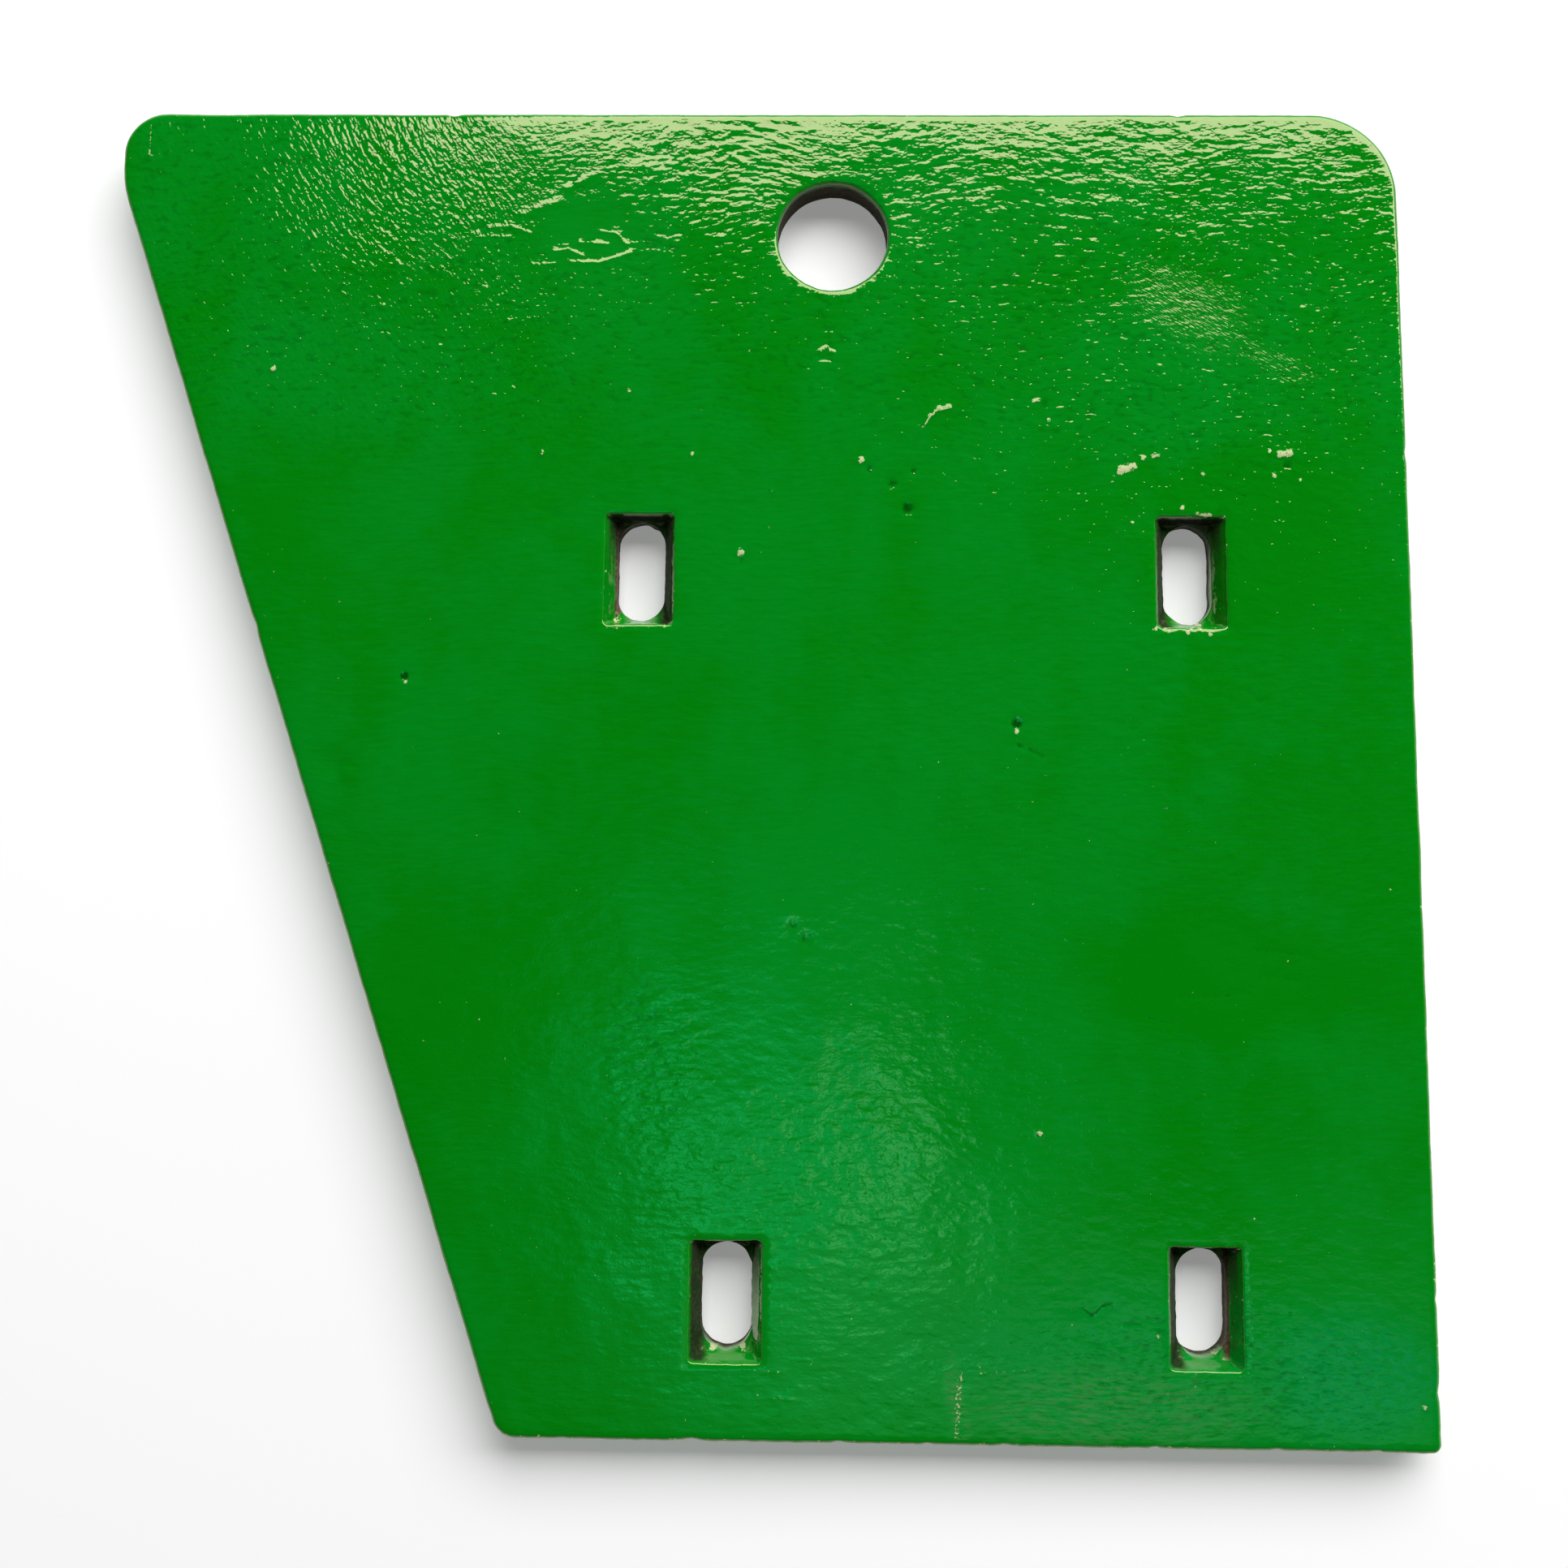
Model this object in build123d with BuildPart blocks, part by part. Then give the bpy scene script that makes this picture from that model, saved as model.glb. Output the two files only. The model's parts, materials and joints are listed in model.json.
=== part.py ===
from build123d import *

import os

# The plate lies on its back face, wear face up: X runs across it, Y towards
# its wide edge and Z through its thickness. The origin is in the back face,
# at the middle of the plate's length and width. All sizes are millimetres.

# Outline: square on the right, slanted on the left, wide edge at the top
plate_width = 686.0
plate_height = 682.0
bottom_width = 463.0
plate_thickness = 25.0

# The sharp upper left corner is cut back to a short upright land
land_height = 40.0

# One radius for each corner of the outline
land_top_radius = 23.0
land_foot_radius = 60.0
bottom_left_radius = 12.0
bottom_right_radius = 5.0
top_right_radius = 46.0

# Rounding of the cast edges
wear_edge_radius = 3.0
back_edge_radius = 1.5
pocket_edge_radius = 1.0

# Lifting hole near the wide edge
lifting_hole_diameter = 59.0
lifting_hole_edge_radius = 2.0
lifting_hole_from_top = 69.0
lifting_hole_from_right = 301.0

# Each of the four fixing holes is an upright slot for a bolt, at the bottom
# of a four-sided pocket that narrows towards it and takes the bolt's head
bolt_diameter = 24.0
bolt_clearance = 2.0
slot_length = 53.0
pocket_depth = 12.0
side_wall_run = 5.0
end_wall_run = 2.5
pocket_mouth_radius = 2.5
pocket_floor_radius = 1.5

# The right holes stand above each other, the lower left one stands nearer
# to them than the upper left one, as the slanted edge does
hole_column_from_right = 114.0
upper_holes_from_top = 249.0
lower_holes_from_bottom = 67.0
upper_hole_spacing = 287.0
lower_hole_spacing = 237.0

# Sizes that follow from the ones above
slot_width = bolt_diameter + bolt_clearance
pocket_floor_height = plate_thickness - pocket_depth
right = plate_width / 2
top = plate_height / 2

land_top = (-right, top)
land_foot = (-right, top - land_height)
bottom_left = (right - bottom_width, -top)
bottom_right = (right, -top)
top_right = (right, top)

lifting_hole = (right - lifting_hole_from_right, top - lifting_hole_from_top)

hole_column = right - hole_column_from_right
upper_row = top - upper_holes_from_top
lower_row = -top + lower_holes_from_bottom
fixing_holes = [
    (hole_column, upper_row),
    (hole_column, lower_row),
    (hole_column - upper_hole_spacing, upper_row),
    (hole_column - lower_hole_spacing, lower_row),
]

# The space taken out of the plate at one fixing hole
with BuildPart() as fixing_hole:
    with BuildSketch(Plane.XY.offset(plate_thickness)):
        RectangleRounded(
            slot_width + 2 * side_wall_run,
            slot_length + 2 * end_wall_run,
            pocket_mouth_radius,
        )
    with BuildSketch(Plane.XY.offset(pocket_floor_height)):
        RectangleRounded(slot_width, slot_length, pocket_floor_radius)
    loft(ruled=True)
    with BuildSketch():
        SlotOverall(slot_length, slot_width, rotation=90)
    extrude(amount=pocket_floor_height)

with BuildPart() as cheek_plate:
    with BuildSketch():
        with BuildLine():
            FilletPolyline(
                land_top,
                land_foot,
                bottom_left,
                bottom_right,
                top_right,
                radius=[
                    land_top_radius,
                    land_foot_radius,
                    bottom_left_radius,
                    bottom_right_radius,
                    top_right_radius,
                ],
                close=True,
            )
        make_face()
    extrude(amount=plate_thickness)

    # The rim is rounded while it is still the only edge of either face
    back_rim = cheek_plate.edges().group_by(Axis.Z)[0]
    wear_rim = cheek_plate.edges().group_by(Axis.Z)[-1]
    fillet(back_rim, back_edge_radius)
    fillet(wear_rim, wear_edge_radius)

    with Locations((*lifting_hole, plate_thickness)):
        Hole(lifting_hole_diameter / 2)
    lifting_hole_edge = (
        cheek_plate.edges()
        .filter_by(GeomType.CIRCLE)
        .filter_by(lambda edge: edge.radius == lifting_hole_diameter / 2)
        .sort_by(Axis.Z)[-1]
    )
    fillet(lifting_hole_edge, lifting_hole_edge_radius)

    with Locations(*fixing_holes):
        add(fixing_hole.part, mode=Mode.SUBTRACT)
    pocket_rims = (
        cheek_plate.faces()
        .sort_by(Axis.Z)[-1]
        .inner_wires()
        .filter_by(lambda wire: len(wire.edges()) > 1)
    )
    fillet(pocket_rims.edges(), pocket_edge_radius)

cheek_plate.part.label = "cheek_plate"

os.makedirs("parts", exist_ok=True)
export_step(cheek_plate.part, "parts/cheek_plate.step")
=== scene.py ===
import json
import math

import bpy
import numpy as np
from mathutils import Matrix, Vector, noise
from mathutils.geometry import delaunay_2d_cdt


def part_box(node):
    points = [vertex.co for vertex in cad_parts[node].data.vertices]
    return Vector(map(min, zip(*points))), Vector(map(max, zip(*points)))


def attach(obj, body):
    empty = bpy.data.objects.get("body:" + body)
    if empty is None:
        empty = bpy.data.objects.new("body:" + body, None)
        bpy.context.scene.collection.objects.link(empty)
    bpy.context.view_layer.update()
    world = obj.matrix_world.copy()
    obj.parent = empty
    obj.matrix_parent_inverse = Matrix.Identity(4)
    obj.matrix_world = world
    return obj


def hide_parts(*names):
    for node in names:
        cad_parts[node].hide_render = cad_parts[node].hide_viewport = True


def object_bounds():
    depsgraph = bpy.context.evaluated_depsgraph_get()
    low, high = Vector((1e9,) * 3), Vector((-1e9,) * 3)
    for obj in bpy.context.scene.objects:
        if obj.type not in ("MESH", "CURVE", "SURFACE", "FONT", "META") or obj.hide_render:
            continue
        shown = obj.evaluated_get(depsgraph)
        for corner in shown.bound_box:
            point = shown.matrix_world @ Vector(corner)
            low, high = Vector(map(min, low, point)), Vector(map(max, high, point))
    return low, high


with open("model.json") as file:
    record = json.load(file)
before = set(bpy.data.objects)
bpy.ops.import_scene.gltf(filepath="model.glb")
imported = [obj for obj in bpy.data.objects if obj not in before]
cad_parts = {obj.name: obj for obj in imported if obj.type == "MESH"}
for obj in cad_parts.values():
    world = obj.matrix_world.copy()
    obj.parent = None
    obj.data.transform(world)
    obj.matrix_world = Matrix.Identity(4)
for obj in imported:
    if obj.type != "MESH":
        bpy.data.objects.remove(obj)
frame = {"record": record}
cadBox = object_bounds()
mm = 0.001


# The outline of the plate in mm, seen from the wear side. The long sides and the
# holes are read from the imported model, and these are the sizes that it doesn't state
plate = {
    "bottomWidth": 463.0,
    "landHeight": 40.0,
    "landTopRadius": 23.0,
    "landFootRadius": 60.0,
    "bottomLeftRadius": 12.0,
    "bottomRightRadius": 5.0,
    "topRightRadius": 46.0,
    "wearEdgeRadius": 3.0,
    "backEdgeRadius": 1.5,
    "boreEdgeRadius": 2.0,
    "rimStep": 2.2,  # length of a mesh face along the rim
    "faceStep": 3.3,  # of the wear face's mesh
    "fineStep": 0.9,  # of the mesh round a mark or a stroke
    "backStep": 9.0,
    "wearEdgeRows": 5,
    "sideRows": 9,
    "backEdgeRows": 3,
}

# A bolt slot at the bottom of its tapered pocket, in mm
pocket = {
    "depth": 12.0,
    "sideRun": 5.0,
    "endRun": 2.5,
    "mouthRadius": 2.5,
    "floorRadius": 1.5,
    "lipRadius": 1.2,
    "footRadius": 0.8,
    "puddle": 2.4,  # paint that ran together at the lower end of the pocket's floor
    "puddleReach": 7.0,
    "floorInset": 0.15,
    "slotInset": 0.25,
    "backFlare": 0.3,
    "lipRows": 3,
    "wallRows": 6,
    "slotRows": 6,
    "longSteps": 28,
    "shortSteps": 18,
    "cornerSteps": 5,
}


def smooth(value, low, high):
    t = np.clip((value - low) / (high - low), 0, 1)
    return t * t * (3 - 2 * t)


cadLow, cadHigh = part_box("cheek_plate")
right = cadHigh[0] / mm
top = cadHigh[1] / mm
thickness = cadHigh[2] / mm

corners = [
    Vector((-right, top)),
    Vector((-right, top - plate["landHeight"])),
    Vector((right - plate["bottomWidth"], -top)),
    Vector((right, -top)),
    Vector((right, top)),
]
cornerRadii = [
    plate["landTopRadius"],
    plate["landFootRadius"],
    plate["bottomLeftRadius"],
    plate["bottomRightRadius"],
    plate["topRightRadius"],
]


# Each corner as its two directions, its radius and the centre of its arc
def cornerArcs():
    found = []
    for i, corner in enumerate(corners):
        arrive = (corner - corners[i - 1]).normalized()
        leave = (corners[(i + 1) % len(corners)] - corner).normalized()
        turn = arrive.angle(leave)
        radius = cornerRadii[i]
        reach = radius * math.tan(turn / 2)
        start = corner - arrive * reach
        centre = start + Vector((-arrive.y, arrive.x)) * radius
        found.append({"arrive": arrive, "leave": leave, "turn": turn, "radius": radius,
                      "start": start, "end": corner + leave * reach, "centre": centre})
    return found


arcs = cornerArcs()


# Points along the rim with the direction that points into the plate
def rimSamples(step):
    samples = []
    for i, arc in enumerate(arcs):
        steps = max(round(arc["radius"] * arc["turn"] / step), math.ceil(math.degrees(arc["turn"]) / 12))
        first = math.atan2(-arc["arrive"].x, arc["arrive"].y)
        for k in range(steps):
            a = first + arc["turn"] * k / steps
            outward = Vector((math.cos(a), math.sin(a)))
            samples.append((arc["centre"] + outward * arc["radius"], -outward))
        run = arcs[(i + 1) % len(arcs)]["start"] - arc["end"]
        count = max(round(run.length / step), 1)
        inward = Vector((-arc["leave"].y, arc["leave"].x))
        for k in range(count):
            samples.append((arc["end"] + run * k / count, inward))
    return samples


# How far inside the outline a point is, in mm
def rimDistance(x, y):
    x = np.asarray(x, float)
    y = np.asarray(y, float)
    distance = np.full(x.shape, 1e9)
    for corner, arc in zip(corners, arcs):
        leave = arc["leave"]
        distance = np.minimum(distance, -(x - corner.x) * leave.y + (y - corner.y) * leave.x)
    for arc in arcs:
        dx = x - arc["centre"].x
        dy = y - arc["centre"].y
        past = dx * arc["arrive"].x + dy * arc["arrive"].y > 0
        before = dx * arc["leave"].x + dy * arc["leave"].y < 0
        distance = np.where(past & before, arc["radius"] - np.hypot(dx, dy), distance)
    return distance


# The holes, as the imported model's mounts place them
mounts = {mount["name"]: mount for mount in frame["record"]["mounts"]}
bore = {
    "x": mounts["lifting_hole"]["pos_m"][0] / mm,
    "y": mounts["lifting_hole"]["pos_m"][1] / mm,
    "radius": mounts["lifting_hole"]["dims"]["r_mm"],
    "uneven": 0.35,
    "steps": 128,
    "lipRows": 4,
    "wallRows": 8,
}
slotWidth = 2 * mounts["right_slots"]["dims"]["hole_r_mm"]
slotLength = mounts["right_slots"]["dims"]["slot_length_mm"]
slotPlaces = {}
for name in ("right_slots", "upper_left_slot", "lower_left_slot"):
    place = mounts[name]
    reach = place["dims"]["spacing_y_mm"] / 2
    ends = {"upper": reach, "lower": -reach} if reach else {"": 0.0}
    for end, shift in ends.items():
        slotPlaces[(end + "_" + name).strip("_")] = (place["pos_m"][0] / mm, place["pos_m"][1] / mm + shift)
print("holes:", len(slotPlaces), "slots and one bore")


# Mesh under construction: each point knows which hole it belongs to
class Shell:
    def __init__(self):
        self.points = []
        self.owners = []
        self.faces = []
        self.kinds = []

    def addPoint(self, x, y, z, owner="plate"):
        self.points.append((x, y, z))
        self.owners.append(owner)
        return len(self.points) - 1

    # a band of faces between two rings of the same length
    def addBand(self, upper, lower, inwards, kind=0):
        count = len(upper)
        for i in range(count):
            j = (i + 1) % count
            quad = (upper[i], lower[i], lower[j], upper[j])
            self.faces.append(quad[::-1] if inwards else quad)
            self.kinds.append(kind)


shell = Shell()


# Rim of the plate, from the wear face round the edge to the back face
def addRim():
    rows = []
    r = plate["wearEdgeRadius"]
    for k in range(plate["wearEdgeRows"] + 1):
        a = math.pi / 2 * k / plate["wearEdgeRows"]
        rows.append((r * (1 - math.sin(a)), thickness - r * (1 - math.cos(a))))
    sideTop = thickness - r
    r = plate["backEdgeRadius"]
    for k in range(1, plate["sideRows"]):
        rows.append((0.0, sideTop + (r - sideTop) * k / plate["sideRows"]))
    for k in range(plate["backEdgeRows"] + 1):
        a = math.pi / 2 * k / plate["backEdgeRows"]
        rows.append((r * (1 - math.cos(a)), r * (1 - math.sin(a))))
    samples = rimSamples(plate["rimStep"])
    rings = []
    for inset, z in rows:
        flat = [point + inward * inset for point, inward in samples]
        rings.append([shell.addPoint(p.x, p.y, z) for p in flat])
    for upper, lower in zip(rings, rings[1:]):
        shell.addBand(upper, lower, inwards=False)
    return rings


rimRings = addRim()


# Corner points of a rounded rectangle, with the same count whatever its size
def roundRectangle(width, height, radius):
    points = []
    halfWidth = width / 2
    halfHeight = height / 2
    sides = [
        ((halfWidth, -1), (0, 1), height, pocket["longSteps"], 0.0),
        ((1, halfHeight), (-1, 0), width, pocket["shortSteps"], math.pi / 2),
        ((-halfWidth, 1), (0, -1), height, pocket["longSteps"], math.pi),
        ((-1, -halfHeight), (1, 0), width, pocket["shortSteps"], 1.5 * math.pi),
    ]
    for start, along, length, steps, angle in sides:
        straight = length - 2 * radius
        for k in range(steps):
            t = straight * (k / steps - 0.5)
            x = start[0] if along[0] == 0 else along[0] * t
            y = start[1] if along[1] == 0 else along[1] * t
            points.append((x, y))
        cornerX = (1 if math.cos(angle + math.pi / 4) > 0 else -1) * (halfWidth - radius)
        cornerY = (1 if math.sin(angle + math.pi / 4) > 0 else -1) * (halfHeight - radius)
        for k in range(pocket["cornerSteps"]):
            a = angle + math.pi / 2 * k / pocket["cornerSteps"]
            points.append((cornerX + radius * math.cos(a), cornerY + radius * math.sin(a)))
    return points


# The slot's outline, point for point with the pocket floor's
def slotOutline(grow, floorPoints):
    radius = slotWidth / 2 + grow
    straight = (slotLength - slotWidth) / 2
    points = []
    for x, y in floorPoints:
        centreY = max(-straight, min(straight, y))
        if abs(y) <= straight:
            points.append((math.copysign(radius, x), y))
        else:
            away = math.hypot(x, y - centreY)
            points.append((x / away * radius, centreY + (y - centreY) / away * radius))
    return points


# How high the paint stands in the foot of the wall, for a place along the pocket
def footHeight(y):
    end = 1 - (slotLength / 2 + y) / pocket["puddleReach"]
    return pocket["footRadius"] + pocket["puddle"] * max(end, 0) ** 1.5


def pocketRings(name, cx, cy):
    p = pocket
    mouthWidth = slotWidth + 2 * p["sideRun"]
    mouthLength = slotLength + 2 * p["endRun"]
    rows = []
    for k in range(p["lipRows"] + 1):  # rounded lip
        a = math.pi / 2 * k / p["lipRows"]
        grow = p["lipRadius"] * (1 - math.sin(a))
        points = roundRectangle(mouthWidth + 2 * grow, mouthLength + 2 * grow, p["mouthRadius"] + grow)
        z = thickness - p["lipRadius"] * (1 - math.cos(a))
        rows.append([(x, y, z) for x, y in points])
    mouth = roundRectangle(mouthWidth, mouthLength, p["mouthRadius"])
    narrow = 2 * p["floorInset"]
    base = roundRectangle(slotWidth - narrow, slotLength - narrow, p["floorRadius"])
    for k in range(1, p["wallRows"] + 1):  # tapered walls, down to the paint at their foot
        row = []
        for (mouthX, mouthY), (baseX, baseY) in zip(mouth, base):
            run = p["depth"] - p["lipRadius"] - footHeight(baseY)
            t = (p["lipRadius"] + run * k / p["wallRows"]) / p["depth"]
            row.append((mouthX + (baseX - mouthX) * t, mouthY + (baseY - mouthY) * t, thickness - p["depth"] * t))
        rows.append(row)
    floorZ = thickness - p["depth"]
    rows.append([(x, y, floorZ + 0.6 * (footHeight(y) - p["footRadius"])) for x, y in base])
    slot = slotOutline(-p["slotInset"], base)
    drop = floorZ / (p["slotRows"] + 1)
    for k in range(p["slotRows"] + 1):
        rows.append([(x, y, floorZ - 0.1 - drop * k) for x, y in slot])
    rows.append([(x, y, 0.0) for x, y in slotOutline(p["backFlare"], base)])
    rings = [[shell.addPoint(cx + x, cy + y, z, name) for x, y, z in row] for row in rows]
    for upper, lower in zip(rings, rings[1:]):
        shell.addBand(upper, lower, inwards=True)
    return rings


def boreRings():
    rows = []
    r = plate["boreEdgeRadius"]
    for k in range(bore["lipRows"] + 1):
        a = math.pi / 2 * k / bore["lipRows"]
        rows.append((bore["radius"] + r * (1 - math.sin(a)), thickness - r * (1 - math.cos(a))))
    wallTop = thickness - r
    for k in range(1, bore["wallRows"] + 1):
        rows.append((bore["radius"], wallTop * (1 - k / (bore["wallRows"] + 0.3))))
    rows.append((bore["radius"] + 0.5, 0.0))
    rings = []
    for radius, z in rows:
        angles = [2 * math.pi * k / bore["steps"] for k in range(bore["steps"])]
        rings.append([shell.addPoint(bore["x"] + radius * math.cos(a), bore["y"] + radius * math.sin(a), z, "bore")
                      for a in angles])
    for upper, lower in zip(rings, rings[1:]):
        shell.addBand(upper, lower, inwards=True)
    return rings


holeRings = [boreRings()]
for name, (cx, cy) in slotPlaces.items():
    holeRings.append(pocketRings(name, cx, cy))
print("rings:", len(shell.points), "points")


# True where a point lies clear of every hole
def clearOfHoles(x, y, margin):
    clear = np.hypot(x - bore["x"], y - bore["y"]) > bore["radius"] + plate["boreEdgeRadius"] + margin
    halfWidth = slotWidth / 2 + pocket["sideRun"] + pocket["lipRadius"] + margin
    halfLength = slotLength / 2 + pocket["endRun"] + pocket["lipRadius"] + margin
    for cx, cy in slotPlaces.values():
        clear &= (np.abs(x - cx) > halfWidth) | (np.abs(y - cy) > halfLength)
    return clear


def hexGrid(step):
    rows = np.arange(-top, top, step * math.sqrt(3) / 2)
    columns = np.arange(-right, right, step)
    x = np.concatenate([columns + (step / 2 if k % 2 else 0) for k in range(len(rows))])
    y = np.repeat(rows, len(columns))
    return x, y


# A flat face with the holes left out, joined to the rings round it. The triangles that
# belong to it are those that its inner points reach without crossing a ring
def fillFace(outerRing, innerRings, gridX, gridY, z, upwards, kind):
    loops = [list(outerRing)] + [list(ring) for ring in innerRings]
    indices = [index for loop in loops for index in loop]
    ringCount = len(indices)
    for x, y in zip(gridX, gridY):
        indices.append(shell.addPoint(float(x), float(y), z))
    flat = [Vector(shell.points[i][:2]) for i in indices]
    position = {index: k for k, index in enumerate(indices)}
    edges = []
    for loop in loops:
        edges += [(position[a], position[b]) for a, b in zip(loop, loop[1:] + loop[:1])]
    found, _, triangles, _, _, _ = delaunay_2d_cdt(flat, edges, [], 0, 1e-5, False)
    if len(found) != len(flat):
        raise ValueError("the triangulation moved points")
    borders = {frozenset(edge) for edge in edges}
    beside = {}
    for number, (a, b, c) in enumerate(triangles):
        for edge in ((a, b), (b, c), (c, a)):
            beside.setdefault(frozenset(edge), []).append(number)
    inside = {number for number, trio in enumerate(triangles) if max(trio) >= ringCount}
    waiting = list(inside)
    while waiting:
        a, b, c = triangles[waiting.pop()]
        for edge in ((a, b), (b, c), (c, a)):
            if frozenset(edge) not in borders:
                fresh = [number for number in beside[frozenset(edge)] if number not in inside]
                inside.update(fresh)
                waiting += fresh
    for number in sorted(inside):
        trio = tuple(indices[k] for k in triangles[number])
        shell.faces.append(trio if upwards else trio[::-1])
        shell.kinds.append(kind)


# Dents and nibs in the wear face, in mm. The value after the depth runs from 1, a pale fleck
# that is partly a chip where the paint is off and partly a painted glint on nibs, dent rims and
# pocket ledges, to -1, a dark spot of painted shade in a pit
marks = [
    {"at": (-214, -12), "wide": 7.0, "depth": -0.50},
    {"at": (-206, -16), "wide": 4.0, "depth": 0.25},
    {"at": (-179, 35), "wide": 2.4, "depth": -0.60, "fleckAndPaintedLight": -1.0},
    {"at": (-178, 32), "wide": 1.4, "depth": 0.20, "fleckAndPaintedLight": 1.0},
    {"at": (138, 13), "wide": 3.0, "depth": -0.55, "fleckAndPaintedLight": -1.0},
    {"at": (138, 9), "wide": 1.6, "depth": 0.20, "fleckAndPaintedLight": 1.0},
    {"at": (22, -85), "wide": 7.0, "depth": 0.35},
    {"at": (31, -97), "wide": 4.0, "depth": -0.35, "fleckAndPaintedLight": -0.5},
    {"at": (24, -90), "wide": 3.0, "depth": -0.30, "fleckAndPaintedLight": -0.5},
    {"at": (-255, 198), "wide": 1.6, "depth": 0.45, "fleckAndPaintedLight": 1.0},
    {"at": (-5, 101), "wide": 2.2, "depth": 0.45, "fleckAndPaintedLight": 1.0},
    {"at": (-4, 97), "wide": 3.2, "depth": -0.30, "fleckAndPaintedLight": -0.4},
    {"at": (148, -191), "wide": 1.6, "depth": 0.45, "fleckAndPaintedLight": 1.0},
    {"at": (205, 152), "wide": 1.4, "depth": 0.30, "fleckAndPaintedLight": 1.0},
    {"at": (271, 156), "wide": 1.2, "depth": 0.30, "fleckAndPaintedLight": 1.0},
    {"at": (280, 149), "wide": 3.4, "depth": -0.35, "fleckAndPaintedLight": -0.6},
    {"at": (273, 143), "wide": 1.5, "depth": 0.30, "fleckAndPaintedLight": 1.0},
    {"at": (236, 144), "wide": 1.3, "depth": 0.30, "fleckAndPaintedLight": 0.9},
    {"at": (286, 141), "wide": 1.2, "depth": 0.30, "fleckAndPaintedLight": 0.9},
    {"at": (156, 172), "wide": 1.3, "depth": 0.30, "fleckAndPaintedLight": 0.9},
    {"at": (58, 150), "wide": 2.0, "depth": 0.40, "fleckAndPaintedLight": 0.9},
    {"at": (62, 146), "wide": 3.0, "depth": -0.40, "fleckAndPaintedLight": -0.5},
    {"at": (-110, 153), "wide": 1.2, "depth": 0.30, "fleckAndPaintedLight": 0.8},
    {"at": (-31, 153), "wide": 1.2, "depth": 0.30, "fleckAndPaintedLight": 0.8},
    {"at": (-65, 187), "wide": 1.2, "depth": 0.30, "fleckAndPaintedLight": 0.8},
    {"at": (11, 134), "wide": 1.2, "depth": 0.30, "fleckAndPaintedLight": 0.8},
    {"at": (82, 125), "wide": 3.6, "depth": -0.50, "fleckAndPaintedLight": -0.8},
    {"at": (74, 138), "wide": 3.0, "depth": -0.45, "fleckAndPaintedLight": -0.7},
    {"at": (85, 145), "wide": 3.0, "depth": -0.35, "fleckAndPaintedLight": -0.5},
    {"at": (-103, 120), "wide": 4.0, "depth": -0.30},
    {"at": (252, 60), "wide": 5.0, "depth": -0.35},
    {"at": (233, -284), "wide": 1.2, "depth": 0.25, "fleckAndPaintedLight": 0.8},
    {"at": (225, 126), "wide": 1.4, "depth": 0.25, "fleckAndPaintedLight": 1.0},
    {"at": (246, 121), "wide": 1.1, "depth": 0.20, "fleckAndPaintedLight": 0.8},
    {"at": (249, 100), "wide": 0.9, "depth": 0.20, "fleckAndPaintedLight": 0.9},
    {"at": (217, 61), "wide": 1.3, "depth": 0.20, "fleckAndPaintedLight": 0.9},
    {"at": (227, 61), "wide": 1.7, "depth": 0.20, "fleckAndPaintedLight": 0.9},
    {"at": (238, 60), "wide": 1.5, "depth": 0.20, "fleckAndPaintedLight": 0.9},
    {"at": (199, 118), "wide": 1.0, "depth": 0.25, "fleckAndPaintedLight": 0.9},
    {"at": (191, 113), "wide": 0.9, "depth": 0.25, "fleckAndPaintedLight": 0.8},
    {"at": (-69, 61), "wide": 1.0, "depth": 0.20, "fleckAndPaintedLight": 0.9},
    {"at": (-44, 62), "wide": 1.3, "depth": 0.20, "fleckAndPaintedLight": 0.9},
    {"at": (-39, 80), "wide": 1.0, "depth": 0.20, "fleckAndPaintedLight": 0.8},
    {"at": (-38, 88), "wide": 0.9, "depth": 0.20, "fleckAndPaintedLight": 0.7},
    {"at": (-77, 86), "wide": 0.8, "depth": 0.20, "fleckAndPaintedLight": 0.7},
    {"at": (205, -287), "wide": 1.3, "depth": 0.20, "fleckAndPaintedLight": 0.8},
    # painted glints: pale marks with no depth on the ledges at the foot of the pockets
    {"at": (-70, 67), "wide": 2.2, "depth": 0.0, "fleckAndPaintedLight": 1.1},
    {"at": (-14, -298), "wide": 2.4, "depth": 0.0, "fleckAndPaintedLight": 1.1},
    {"at": (1, -298), "wide": 2.4, "depth": 0.0, "fleckAndPaintedLight": 1.1},
    {"at": (217, -298), "wide": 2.0, "depth": 0.0, "fleckAndPaintedLight": 1.0},
    {"at": (235, -297), "wide": 2.4, "depth": 0.0, "fleckAndPaintedLight": 1.1},
    {"at": (215, 67), "wide": 2.0, "depth": 0.0, "fleckAndPaintedLight": 1.0},
    {"at": (234, 66), "wide": 2.2, "depth": 0.0, "fleckAndPaintedLight": 1.0},
    {"at": (334, -318), "wide": 1.6, "depth": 0.20, "fleckAndPaintedLight": 0.9},
]
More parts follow.
